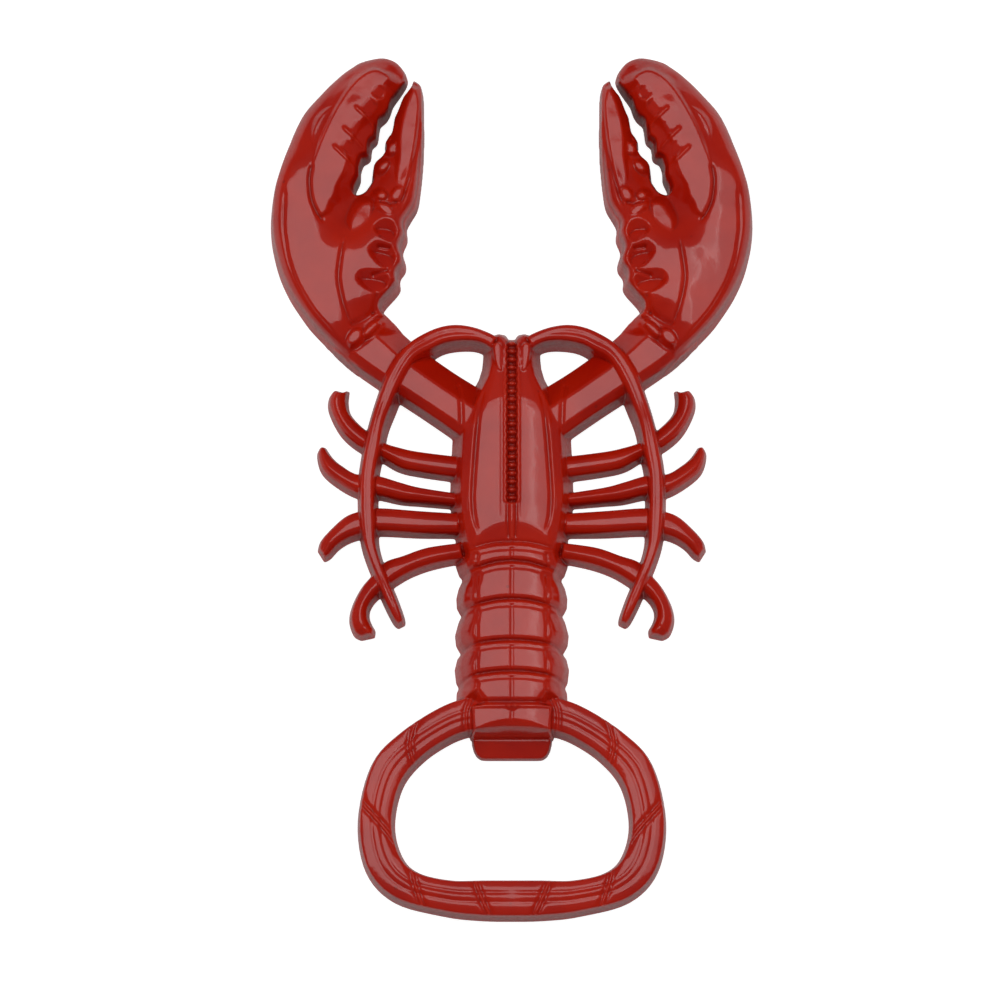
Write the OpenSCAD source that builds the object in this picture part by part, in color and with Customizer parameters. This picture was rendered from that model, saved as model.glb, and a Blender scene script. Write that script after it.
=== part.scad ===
// Lobster bottle opener: one flat-backed casting, drawn as the sections it is sculpted from.
// It lies on its back: +Z is the sculpted side, +Y points to the claws, X = 0 is the middle.

/* [Overall] */
// Length from the claw tips to the far side of the ring
overall_length = 148; // [120:1:180]
// Slope of the side walls, so that the casting leaves its mould
draft = 12; // [5:1:15]

/* [Heights] */
// Height of the carapace and the tail
body_height = 8.6; // [7.5:0.1:10]
// Height of the claws at the middle of the palm
claw_height = 9.8; // [8:0.1:12]
// Height of the arms that carry the claws
arm_height = 7.4; // [6:0.1:9]
// Height of the antennae where they cross the arms
antenna_height = 8.2; // [7.5:0.1:10]
// Height of the walking legs
leg_height = 5.0; // [4:0.1:6]
// Height of the ring that the fingers hold
ring_height = 6.4; // [5:0.1:8]

/* [Opener] */
// Thickness of the lip that hooks under the bottle cap
lip_thickness = 2.6; // [2:0.1:4]
// Width of the lip
lip_width = 13.8; // [12:0.1:14]
// Radius of the lip's two outer corners
lip_corner = 1.4; // [0.5:0.1:3]

/* [Beads] */
// Number of beads along the back
bead_count = 20; // [8:1:20]
// Distance from one bead to the next
bead_pitch = 1.4; // [1.35:0.01:1.42]
// Radius of a bead
bead_radius = 0.62; // [0.4:0.01:0.65]

/* [Hidden] */

enamel = [0.62, 0.10, 0.08];

// The rows below are laid out for a 148 mm opener and grow or shrink with its length.
drawn_length = 148;
size = overall_length / drawn_length;

// A groove for the beads runs along the back, with a level floor.
groove_width = 1.7;
groove_floor = body_height - 0.6;
groove_front = 23.0;
groove_rear = -12.0;
first_bead_y = 21.9;

// Every ridge has steep walls up to this share of its height, and a rounded crown above them.
wall_share = 0.55;
crown_steps = 8;

// A ridge that cuts another one reaches this far below it.
cut_depth = 1;

// A row is one cross-section of a ridge, from its left foot to its right foot:
// [left x, left y, right x, right y, height as a share of the ridge's full height, bow along +Y].

claw_rows = [
    [-29.8, 22.1, -22.1, 28.8, 0.74, 0],
    [-33.7, 26.3, -20.2, 31.2, 0.85, 0],
    [-37.2, 31.0, -19.0, 34.0, 0.95, 0],
    [-39.6, 37.1, -18.1, 38.0, 1.00, 0],
    [-40.8, 43.1, -17.9, 42.1, 1.00, 0],
    [-40.8, 47.3, -21.6, 47.2, 0.98, 0],
    [-40.4, 51.1, -26.5, 49.6, 0.96, 0],
    [-39.2, 55.5, -25.8, 53.4, 0.95, 0],
    [-37.6, 60.0, -23.9, 57.8, 0.93, 0],
    [-34.7, 65.4, -22.4, 61.8, 0.90, 0],
    [-31.0, 69.8, -20.5, 65.0, 0.86, 0],
    [-26.9, 72.8, -19.2, 67.2, 0.80, 0],
    [-22.4, 73.9, -18.3, 69.2, 0.66, 0],
    [-19.5, 72.8, -18.0, 70.4, 0.42, 0]
];

thumb_rows = [
    [-26.1, 49.0, -17.7, 44.1, 0.88, 0],
    [-24.7, 50.6, -16.0, 47.0, 0.86, 0],
    [-23.9, 52.7, -15.3, 49.8, 0.82, 0],
    [-22.2, 55.6, -14.9, 53.3, 0.78, 0],
    [-21.5, 58.1, -14.8, 57.0, 0.74, 0],
    [-20.5, 60.7, -14.8, 60.5, 0.70, 0],
    [-19.5, 63.5, -14.9, 64.4, 0.64, 0],
    [-18.0, 66.5, -15.1, 67.2, 0.54, 0],
    [-17.1, 68.4, -15.6, 69.0, 0.42, 0],
    [-16.9, 69.5, -16.3, 69.7, 0.30, 0]
];

arm_rows = [
    [-6.6, 4.8, -3.2, 14.4, 1.00, 0],
    [-9.5, 6.9, -6.1, 16.3, 1.00, 0],
    [-14.8, 10.6, -10.0, 18.8, 0.98, 0],
    [-20.7, 14.8, -15.5, 22.8, 0.98, 0]
];

wrist_rows = [
    [-20.7, 14.8, -15.5, 22.8, 0.98, 0],
    [-26.2, 19.0, -19.8, 26.8, 0.98, 0],
    [-29.8, 22.1, -22.1, 28.8, 0.98, 0]
];

antenna_rows = [
    [-3.6, 25.6, -4.9, 22.5, 0.84, 0],
    [-6.4, 26.7, -6.6, 22.9, 0.85, 0],
    [-9.5, 27.1, -9.5, 22.9, 0.86, 0],
    [-12.5, 26.6, -11.7, 22.4, 0.90, 0],
    [-15.4, 25.2, -13.6, 21.1, 0.97, 0],
    [-18.0, 23.3, -15.4, 19.9, 1.00, 0],
    [-20.0, 20.8, -16.9, 17.7, 1.00, 0],
    [-21.7, 17.7, -18.4, 14.4, 0.97, 0],
    [-23.0, 14.1, -19.5, 11.4, 0.90, 0],
    [-24.3, 9.6, -20.8, 8.2, 0.83, 0],
    [-25.3, 5.0, -21.6, 4.1, 0.80, 0],
    [-25.9, 0.7, -22.3, 0.3, 0.79, 0],
    [-26.0, -3.9, -22.4, -3.9, 0.78, 0],
    [-25.7, -7.8, -22.2, -7.9, 0.77, 0],
    [-25.1, -11.3, -22.0, -10.9, 0.75, 0],
    [-24.0, -14.5, -21.2, -13.7, 0.72, 0],
    [-22.7, -17.8, -20.1, -16.8, 0.66, 0],
    [-21.0, -21.3, -18.5, -19.8, 0.58, 0],
    [-19.1, -24.2, -17.4, -23.0, 0.48, 0],
    [-18.4, -24.9, -17.6, -24.2, 0.40, 0]
];

leg_rows = [
    [
        [-8.3, -0.5, -8.3, 4.3, 1.00, 0],
        [-15.3, 0.8, -15.4, 5.1, 0.98, 0],
        [-19.1, 1.7, -18.7, 5.8, 0.98, 0],
        [-22.4, 3.6, -21.6, 6.8, 0.98, 0],
        [-25.8, 5.3, -24.8, 9.1, 0.98, 0],
        [-28.7, 8.1, -27.0, 11.4, 0.96, 0],
        [-30.6, 11.9, -27.6, 13.3, 0.92, 0],
        [-30.8, 14.5, -27.6, 15.2, 0.86, 0],
        [-29.9, 15.9, -27.6, 15.9, 0.80, 0]
    ],
    [
        [-8.3, -4.4, -8.3, -2.2, 0.90, 0],
        [-15.3, -4.0, -15.3, -1.1, 0.92, 0],
        [-18.7, -3.8, -18.7, -0.2, 0.95, 0],
        [-22.4, -3.1, -22.4, 1.0, 0.98, 0],
        [-26.1, -2.7, -26.0, 1.2, 0.98, 0],
        [-29.7, -0.6, -28.7, 2.8, 0.96, 0],
        [-31.9, 1.6, -30.0, 4.0, 0.88, 0],
        [-32.6, 4.4, -30.9, 5.2, 0.76, 0],
        [-32.1, 6.0, -31.3, 5.9, 0.60, 0]
    ],
    [
        [-8.3, -9.7, -8.3, -5.5, 1.00, 0],
        [-15.3, -9.7, -15.3, -5.0, 0.98, 0],
        [-22.2, -9.2, -22.4, -4.6, 0.98, 0],
        [-25.2, -9.7, -25.8, -5.1, 0.98, 0],
        [-27.3, -10.4, -28.1, -5.9, 0.98, 0],
        [-28.9, -11.4, -30.3, -7.8, 0.95, 0],
        [-30.3, -12.9, -32.0, -10.0, 0.86, 0],
        [-31.4, -13.4, -32.4, -11.7, 0.72, 0]
    ],
    [
        [-7.6, -14.2, -8.2, -10.5, 1.00, 0],
        [-12.9, -15.1, -14.2, -11.4, 0.98, 0],
        [-16.6, -16.3, -18.3, -12.6, 0.98, 0],
        [-19.5, -18.0, -21.4, -13.7, 0.98, 0],
        [-22.3, -20.0, -23.5, -15.9, 0.98, 0],
        [-23.8, -21.6, -25.4, -18.2, 0.96, 0],
        [-24.1, -23.0, -26.8, -21.3, 0.94, 0],
        [-23.6, -24.4, -27.1, -23.8, 0.90, 0],
        [-23.1, -25.4, -26.3, -26.0, 0.82, 0],
        [-23.3, -26.4, -25.1, -26.8, 0.72, 0]
    ]
];

// Sections square to the middle line: y of the feet, half-width, height share and bow.
carapace_rows = [
    across(15.8, 6.4, 0.98, 0),
    across(12.6, 7.8, 1.00, 0),
    across(7.4, 9.3, 1.00, 0),
    across(2.0, 10.2, 1.00, 0),
    across(-3.5, 10.4, 1.00, 0),
    across(-8.0, 9.9, 0.98, 0.8),
    across(-13.2, 8.7, 0.90, 1.8)
];

rostrum_rows = [
    across(24.9, 3.4, 0.93, 0),
    across(22.5, 4.4, 0.96, 0),
    across(19.1, 5.1, 0.97, 0),
    across(15.8, 6.4, 0.98, 0)
];

// The five tail rings share their end sections, so each starts where the last one stops.
tail_edges = [
    across(-13.2, 8.7, 0.90, 1.8),
    across(-17.0, 8.2, 0.90, 2.2),
    across(-23.0, 8.4, 0.90, 2.0),
    across(-29.3, 8.4, 0.90, 1.6),
    across(-35.2, 8.8, 0.90, 2.0),
    across(-38.3, 8.9, 0.90, 0)
];

// Each tail ring swells between its two edges by these amounts.
tail_swell_width = 0.8;
tail_swell_height = 0.07;

boss_rows = [
    across(-38.3, 7.0, 0.92, 0),
    across(-41.0, 7.0, 0.98, 0),
    across(-43.3, 7.0, 0.92, 0)
];
lip_root_y = -43.3;
lip_tip_y = -47.0;

// Left half of the ring, from the boss round to the middle of the far bar.
half_ring_rows = [
    [-6.8, -43.3, -7.2, -36.9, 1, 0],
    [-10.2, -44.6, -11.9, -38.5, 1, 0],
    [-14.5, -47.7, -18.5, -42.8, 1, 0],
    [-17.8, -51.9, -23.2, -48.1, 1, 0],
    [-19.1, -58.2, -25.3, -57.4, 1, 0],
    [-17.8, -63.4, -23.9, -65.7, 1, 0],
    [-15.1, -66.1, -19.1, -70.7, 1, 0],
    [-10.1, -67.3, -11.0, -73.1, 1, 0],
    [-5.2, -67.3, -5.1, -73.9, 1, 0],
    [0, -67.3, 0, -74.0, 1, 0]
];

// A row square to the middle line
function across(y, half_width, share, bow) = [-half_width, y, half_width, y, share, bow];

// The same row on the other side of the middle line
function flipped(row) = [-row[0], row[1], -row[2], row[3], row[4], row[5]];

// Catmull-Rom blend of rows b and c at fraction t, steered by their neighbours a and d
function blend_rows(a, b, c, d, t) =
    0.5 * (2 * b + (c - a) * t + (2 * a - 5 * b + 4 * c - d) * t * t + (3 * b - a - 3 * c + d) * t * t * t);

// The rows with smooth rows added, so that each gap is cut in steps
function smoothed(rows, steps) = [
    for (i = [0 : len(rows) - 2], s = [0 : steps - 1])
        blend_rows(rows[max(i - 1, 0)], rows[i], rows[i + 1], rows[min(i + 2, len(rows) - 1)], s / steps),
    rows[len(rows) - 1]
];

// Points of one section: left foot, crown from left to right, right foot.
// The walls run on down below z = 0 by the given depth.
function section_points(row, full_height, depth) =
    let (
        height = row[4] * full_height,
        wall = wall_share * height,
        width = norm([row[2] - row[0], row[3] - row[1]]) * size,
        inset = min(wall * tan(draft) / width, 0.3),
        spread = inset * depth / wall,
        crown = [
            for (i = [0 : crown_steps])
                let (angle = 180 * i / crown_steps)
                    [0.5 - (0.5 - inset) * cos(angle), wall + (height - wall) * sin(angle)]
        ]
    )
    [
        for (p = concat([[-spread, -depth]], crown, [[1 + spread, -depth]]))
            [
                (row[0] + (row[2] - row[0]) * p[0]) * size,
                (row[1] + (row[3] - row[1]) * p[0] + row[5] * sin(180 * p[0])) * size,
                p[1]
            ]
    ];

// A solid ridge that follows the rows, flat below and closed at both ends
module ridge(rows, full_height, steps = 2, depth = 0) {
    fine = smoothed(rows, steps);
    count = len(fine);
    m = crown_steps + 3;
    points = [for (row = fine) each section_points(row, full_height, depth)];
    skin = [
        for (r = [0 : count - 2], i = [0 : m - 1])
            let (a = r * m + i, b = r * m + (i + 1) % m)
                each [[a, b, b + m], [a, b + m, a + m]]
    ];
    last = (count - 1) * m;
    start_cap = [
        for (i = [0 : ceil(m / 2) - 2])
            each [[i, m - 1 - i, i + 1], [i + 1, m - 1 - i, m - 2 - i]]
    ];
    end_cap = [
        for (i = [0 : ceil(m / 2) - 2])
            each [[last + i, last + i + 1, last + m - 1 - i], [last + i + 1, last + m - 2 - i, last + m - 1 - i]]
    ];
    polyhedron(points, concat(skin, [for (f = concat(start_cap, end_cap)) if (f[0] != f[1] && f[1] != f[2]) f]));
}

// Shows a shape of the left side on the right
module to_right() {
    mirror([1, 0, 0]) children();
}

// The whole back shield before the groove is cut
module shield(depth = 0) {
    ridge(carapace_rows, body_height, 3, depth);
}

module head_block(depth = 0) {
    ridge(rostrum_rows, body_height, 3, depth);
}

module bead_groove() {
    translate([-groove_width / 2, groove_rear * size - 5, groove_floor])
        cube([groove_width, (groove_front - groove_rear) * size + 5, body_height]);
}

module antenna_body(depth = 0) {
    ridge(antenna_rows, antenna_height, 2, depth);
}

module carapace() {
    color(enamel) difference() {
        shield();
        bead_groove();
    }
}

module rostrum() {
    color(enamel) difference() {
        head_block();
        bead_groove();
    }
}

module dorsal_bead_row() {
    color(enamel)
        for (i = [0 : bead_count - 1])
            translate([0, (first_bead_y - i * bead_pitch) * size, groove_floor])
                rotate_extrude($fn = 24)
                    intersection() {
                        circle(r = bead_radius, $fn = 24);
                        square(bead_radius);
                    }
}

module arm() {
    color(enamel) difference() {
        ridge(arm_rows, arm_height, 3);
        shield(cut_depth);
        antenna_body(cut_depth);
    }
}

module wrist() {
    color(enamel) difference() {
        ridge(wrist_rows, arm_height, 3);
        antenna_body(cut_depth);
    }
}

module claw() {
    color(enamel) difference() {
        ridge(claw_rows, claw_height, 3);
        ridge(thumb_rows, claw_height, 3, cut_depth);
    }
}

module thumb() {
    color(enamel) ridge(thumb_rows, claw_height, 3);
}

module antenna() {
    color(enamel) difference() {
        antenna_body();
        head_block(cut_depth);
    }
}

module leg(i) {
    color(enamel) difference() {
        ridge(leg_rows[i - 1], leg_height, 2);
        shield(cut_depth);
        antenna_body(cut_depth);
        if (i == 4) tail_ring(1, cut_depth);
    }
}

module tail_ring(i, depth = 0) {
    front = tail_edges[i - 1];
    rear = tail_edges[i];
    swell = [-tail_swell_width, 0, tail_swell_width, 0, tail_swell_height, 0];
    ridge([front, 0.65 * front + 0.35 * rear + swell, 0.3 * front + 0.7 * rear + swell, rear], body_height, 3, depth);
}

module tail_segment(i) {
    color(enamel) tail_ring(i);
}

module tail_boss() {
    color(enamel) ridge(boss_rows, body_height, 2);
}

module cap_lip() {
    tip = lip_tip_y * size;
    half = lip_width / 2;
    corner = [for (a = [0 : 15 : 90]) [half - lip_corner * (1 - cos(a)), tip + lip_corner * (1 - sin(a))]];
    right_edge = concat([[half, lip_root_y * size]], corner);
    left_edge = [for (i = [len(right_edge) - 1 : -1 : 0]) [-right_edge[i][0], right_edge[i][1]]];
    color(enamel) linear_extrude(lip_thickness) polygon(concat(right_edge, left_edge));
}

module grip_ring() {
    rest = [for (i = [len(half_ring_rows) - 2 : -1 : 0]) flipped(half_ring_rows[i])];
    color(enamel) difference() {
        ridge(concat(half_ring_rows, rest), ring_height, 3);
        tail_ring(5, cut_depth);
        ridge(boss_rows, body_height, 2, cut_depth);
    }
}

carapace();
rostrum();
dorsal_bead_row();
arm();  // arm_left
to_right() arm();  // arm_right
wrist();  // wrist_left
to_right() wrist();  // wrist_right
claw();  // claw_left
to_right() claw();  // claw_right
thumb();  // thumb_left
to_right() thumb();  // thumb_right
antenna();  // antenna_left
to_right() antenna();  // antenna_right
leg(1);  // leg_1_left
leg(2);  // leg_2_left
leg(3);  // leg_3_left
leg(4);  // leg_4_left
to_right() leg(1);  // leg_1_right
to_right() leg(2);  // leg_2_right
to_right() leg(3);  // leg_3_right
to_right() leg(4);  // leg_4_right
tail_segment(1);  // tail_segment_1
tail_segment(2);  // tail_segment_2
tail_segment(3);  // tail_segment_3
tail_segment(4);  // tail_segment_4
tail_segment(5);  // tail_segment_5
tail_boss();
cap_lip();
grip_ring();
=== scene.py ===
"""Lobster bottle opener: one enamelled casting, sculpted as a relief and parted into the frame's sections."""
import math
import bpy
import numpy as np
import openvdb
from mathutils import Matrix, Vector
from mathutils.geometry import delaunay_2d_cdt


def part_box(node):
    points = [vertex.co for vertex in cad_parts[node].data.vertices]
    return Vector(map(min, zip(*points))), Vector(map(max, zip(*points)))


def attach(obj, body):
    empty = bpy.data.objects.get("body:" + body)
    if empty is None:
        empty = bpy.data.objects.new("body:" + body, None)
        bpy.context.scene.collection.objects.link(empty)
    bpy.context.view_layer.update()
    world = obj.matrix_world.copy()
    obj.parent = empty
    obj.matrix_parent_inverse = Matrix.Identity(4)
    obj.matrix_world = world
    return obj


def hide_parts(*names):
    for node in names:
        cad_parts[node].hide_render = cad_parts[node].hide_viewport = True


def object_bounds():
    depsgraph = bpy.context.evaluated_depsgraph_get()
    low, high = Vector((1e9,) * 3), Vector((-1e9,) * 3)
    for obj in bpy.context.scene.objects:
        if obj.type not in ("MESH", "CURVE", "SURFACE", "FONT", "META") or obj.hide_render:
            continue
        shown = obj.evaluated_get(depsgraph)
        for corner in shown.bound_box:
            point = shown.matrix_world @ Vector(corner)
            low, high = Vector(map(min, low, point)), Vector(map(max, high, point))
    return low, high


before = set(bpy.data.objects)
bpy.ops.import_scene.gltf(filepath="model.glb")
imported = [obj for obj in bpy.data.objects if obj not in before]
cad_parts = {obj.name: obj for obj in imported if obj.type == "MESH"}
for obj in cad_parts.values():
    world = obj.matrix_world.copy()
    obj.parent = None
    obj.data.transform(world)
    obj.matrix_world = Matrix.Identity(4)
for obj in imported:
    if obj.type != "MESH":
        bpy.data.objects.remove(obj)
cad_low, cad_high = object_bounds()

# ---- Sizes. Everything is laid out in millimetres for a 148 mm opener and scaled to the frame's own length.
DRAWN_LENGTH = 147.9
METRES = (cad_high.y - cad_low.y) / DRAWN_LENGTH
# The relief's grid, and the coarser one that the mesh is made on. Both reach a little beyond the opener.
STEP = 0.1
VOXEL_STEPS = 2
VOXEL = VOXEL_STEPS * STEP
HALF_WIDTH, HALF_LENGTH, FULL_HEIGHT, UNDER = 42.0, 75.5, 11.0, -1.0
# The relief's height where there is nothing.
BELOW = -6.0
# Slopes of walls: the usual one, and that of the notches.
STEEP = 12.0
NOTCH_SLOPE = 1 / math.tan(math.radians(12))


def top_of(node):
    """The highest point of a CAD node, in drawn millimetres."""
    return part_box(node)[1].z / METRES


ARM_TOP = top_of("arm_left")
BODY_TOP = top_of("carapace")
ANTENNA_TOP = top_of("antenna_left")
LEG_TOP = top_of("leg_1_left")
RING_TOP = top_of("grip_ring")
LIP_TOP = top_of("cap_lip")

# The left claw's outline with its thumb, from the wrist round the tip and the jaws and back.
CLAW_OUTLINE = [
    (-27.5, 19.7), (-29.2, 21.1), (-30.9, 22.7), (-32.6, 24.4), (-34.3, 26.3), (-36, 28.7), (-37.7, 31.4),
    (-39.3, 34.9), (-40.3, 38.4), (-40.85, 41.5), (-41, 45), (-40.6, 49.4), (-39.8, 52.6), (-38.7, 56),
    (-37.4, 59.3), (-35.8, 62.6), (-34.1, 65), (-31.5, 67.9), (-29, 70.2), (-27.4, 71.3), (-25.8, 72.3),
    (-22.6, 73.05), (-20.7, 72.8), (-19, 71.8), (-17.9, 70.1), (-17.9, 68.8), (-19, 66.9), (-20.3, 65),
    (-20.8, 63.5), (-21.5, 62.3), (-22.5, 61.3), (-22.9, 58.6), (-23.8, 57.6), (-24.1, 55.5), (-25.2, 54.8),
    (-25.7, 53.4), (-25.8, 51.7), (-26.6, 49.8), (-26.2, 48.8), (-25.1, 49.2), (-24, 50.9), (-23.7, 52.3),
    (-23.5, 53.9), (-23, 54.8), (-21.7, 56), (-21.4, 57), (-21.6, 57.9), (-21, 59), (-20.4, 59.7),
    (-20, 62.1), (-19.5, 63.2), (-18.6, 65.5), (-17.8, 66.5), (-17.2, 67.4), (-16.9, 68.8), (-16.6, 69),
    (-15.9, 68.4), (-15.25, 67.5), (-15.05, 64.7), (-15, 57.9), (-15.2, 53.5), (-15.65, 49.1),
    (-16.1, 46.8), (-17.1, 45), (-17.9, 43.4), (-17.7, 41.6), (-18.2, 40), (-18.4, 39), (-17.9, 37.3),
    (-18, 36), (-18.7, 35), (-18.9, 34.2), (-18.8, 33), (-19.4, 31.9), (-20.8, 30.3), (-21.8, 28.9),
    (-20.7, 27.5),
]
# Which of its points, from the wrist, are the slot's first and the inner side's first.
SLOT_START, SLOT_END = 25, 55
# What belongs to the thumb: from its root on the palm, round the free space beside it and down the slot.
THUMB_AREA = [
    (-26.2, 49), (-23.2, 47.3), (-21, 46.6), (-19, 45), (-17, 43.8), (-12, 46), (-12, 71), (-17.5, 71),
    (-17.6, 68.1), (-19, 66.2), (-20.9, 61.8), (-23.6, 56.4), (-25, 52),
]
# Spot heights of the top of the claw: (x, y, z).
CLAW_SPOTS = [
    (-29, 22, 8.2), (-32.1, 26.2, 9.1), (-35.4, 31.5, 9.2), (-37, 35.2, 9.25), (-38, 39.5, 9.25),
    (-38.3, 43, 9.25), (-38.3, 47.3, 9.1), (-38, 51.5, 8.95), (-37.2, 53.6, 8.75), (-36.8, 56.4, 7.6),
    (-35.8, 60, 6.7), (-33.2, 64.6, 6.1), (-28.6, 69.4, 5.8), (-24.6, 71.6, 5.9), (-21.2, 72, 6),
    (-18.8, 70.4, 6.2), (-36.2, 42, 9.4), (-35, 36.5, 9.42), (-32.3, 38, 9.5), (-31.5, 30.5, 9.4),
    (-28.8, 26, 9.2), (-36.2, 47, 9.33), (-30.2, 34, 9.5), (-36.2, 51, 9.27), (-35.6, 53.6, 9.12),
    (-34.4, 53.8, 9.17), (-34.6, 48.6, 9.36), (-34, 45, 9.42), (-33, 43.2, 9.4), (-34.2, 55.6, 8.8),
    (-34.8, 57.6, 7.9), (-33.4, 61.4, 7.2), (-31, 65.2, 7), (-27.4, 68.2, 7), (-33, 56.6, 8.7),
    (-31.2, 60.4, 8.7), (-29.4, 63.8, 8.6), (-27.6, 66.4, 8.5), (-25.2, 68.9, 8.2), (-21.4, 69.2, 8.1),
    (-31.9, 50.5, 9.3), (-31.4, 47, 9.2), (-30.6, 54, 9.3), (-28.4, 60, 9.2), (-25, 65.6, 8.9),
    (-29, 49.6, 8.9), (-27.6, 52.4, 8.8), (-27, 55.2, 8.7), (-26.2, 58.6, 8.6), (-24.4, 61.6, 8.3),
    (-22.6, 64, 8.1), (-20.8, 67, 7.6), (-26.2, 52, 7.2), (-25.6, 54.4, 7), (-24, 57.9, 6.8),
    (-22.7, 61.2, 6.6), (-20.9, 64.6, 6.2), (-19, 68.4, 5.9), (-27.4, 49.4, 7.2), (-26.6, 48, 6),
    (-29.4, 46.6, 7.9), (-27.5, 44, 6.9), (-28.3, 41.5, 8.3), (-30.8, 42.4, 8.9), (-28.4, 39.9, 9.3),
    (-24.3, 46.8, 6.8), (-25.4, 43.6, 7.6), (-24.6, 41.2, 9), (-27, 37.5, 9.5), (-26.4, 33, 9.5),
    (-25.6, 29.6, 9.35), (-26.9, 27.6, 8.9), (-23.9, 36, 9.4), (-22.9, 40.6, 9.35), (-21.4, 43.6, 9.2),
    (-24.9, 26.4, 7.9), (-27.4, 22.4, 7.8), (-22.8, 27.2, 7.5), (-19.2, 42.5, 9), (-19.5, 38.2, 9.1),
    (-19.8, 34.5, 9.1), (-20.7, 31.4, 8.9), (-22.2, 29.4, 8.7), (-16.2, 67.6, 6), (-16.4, 64.8, 6.7),
    (-16.8, 61.3, 7), (-17.1, 57.8, 7.4), (-17.4, 54.4, 7.8), (-18, 50.9, 8.2), (-15.3, 61, 7.2),
    (-15.5, 56, 7.5), (-16.3, 50, 8), (-17.6, 65.4, 5), (-19.2, 60.6, 5.4), (-20.7, 56.4, 5.6),
    (-22.6, 52.4, 5.6), (-20.2, 53.6, 6.8), (-18.9, 57.4, 6.6), (-19.6, 48.4, 8.2), (-22.2, 48.6, 7.2),
    (-18, 46.4, 8.3),
]
# Nearly flat crests on the claw: (outline, height at its middle, rise per mm in x and in y, edge's slope).
CLAW_CRESTS = [
    ([(-27.2, 66.4), (-28.9, 63.8), (-30.6, 60.6), (-32.2, 56.8), (-33.6, 52.5), (-33.8, 49.4),
      (-33.3, 46.6), (-32.3, 44.4), (-31.3, 44.9), (-30.8, 46.4), (-30.1, 47.5), (-29.6, 49.4),
      (-28.3, 51.9), (-27.6, 54.7), (-27.1, 57.3), (-26, 59.7), (-24.6, 61.6), (-23.1, 63.4), (-21.9, 65.1),
      (-21.5, 67), (-20.8, 67.9), (-21.5, 68.7), (-23.2, 69.3), (-25.2, 68.4)], 9.45, -0.01, -0.02, 1.6),
    ([(-16.6, 66.4), (-15.9, 64.6), (-15.8, 61.5), (-16.4, 56.8), (-17.4, 51.6), (-18.7, 46.7),
      (-19.2, 48.1), (-19.3, 51.6), (-18.8, 55), (-18.8, 58.4), (-18.1, 62.4)], 8, 0, -0.03, 1.5),
    ([(-30.1, 63.3), (-30, 62.3), (-31, 60.2), (-32.3, 57.7), (-33.3, 56.7), (-33.6, 57.8), (-33.2, 59.8),
      (-32, 61.9)], 8.4, 0, -0.02, 1.4),
    ([(-26.8, 41.4), (-27, 43.2), (-26.1, 45.1), (-25, 46.3), (-23.8, 46.3), (-23.8, 45), (-24.4, 43.1),
      (-25.8, 41.1)], 8.25, 0, -0.05, 1.1),
]
# Hollows in the claw: (outline, height of the floor at its middle, rise per mm in x and in y).
CLAW_SCOOPS = [
    ([(-23.7, 66.4), (-22.3, 66.5), (-21.5, 65.7), (-22.1, 64.6), (-23.5, 65.3)], 8.95, -0.35, 0.25),
    ([(-25.9, 64.7), (-24.5, 65), (-22.5, 62.6), (-21.1, 61.2), (-23.5, 60.7), (-25.2, 62.6)],
     8.75, -0.35, 0.25),
    ([(-27.9, 60.5), (-26.5, 60.7), (-23.8, 58.4), (-23.1, 57), (-25.2, 57.2), (-27.2, 59.1)],
     8.8, -0.35, 0.25),
    ([(-29.4, 57.2), (-28.2, 57.2), (-25.8, 55.3), (-24.8, 53.7), (-26.8, 54.3), (-28.7, 55.8)],
     8.85, -0.35, 0.25),
    ([(-22.7, 41.8), (-21.2, 41.9), (-20, 41.3), (-19.9, 40.2), (-20.6, 39.7), (-21.6, 40.4)],
     8.5, -0.1, -0.55),
    ([(-23.1, 37.8), (-21.6, 37.7), (-20.2, 37), (-20.1, 35.5), (-20.7, 34.9), (-22.2, 35.9)],
     8.45, -0.1, -0.45),
    ([(-25.3, 33.1), (-23.8, 33.3), (-21.6, 32.8), (-21.2, 31.9), (-22.3, 30.8), (-24, 31.4)],
     8.5, -0.1, -0.45),
]
# Round flat pads on the claw: (x, y, half length, half width, turn in degrees, height of its top).
CLAW_STUDS = [
    (-17.8, 63.2, 0.8, 0.5, 40, 6.5), (-18.9, 60.1, 0.9, 0.6, 50, 6.6), (-19.9, 56.4, 1, 0.7, 50, 6.9),
    (-21.6, 53.2, 0.9, 0.5, 45, 6.9), (-19.3, 47.9, 1.1, 0.7, 60, 8.75), (-21.9, 47.7, 0.6, 0.55, 0, 8.5),
    (-21.2, 45.3, 1.3, 0.6, -40, 9.15), (-26.4, 23.4, 1.3, 0.8, 50, 8.6), (-23.6, 24.8, 1.5, 0.5, 42, 8.2),
]
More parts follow.
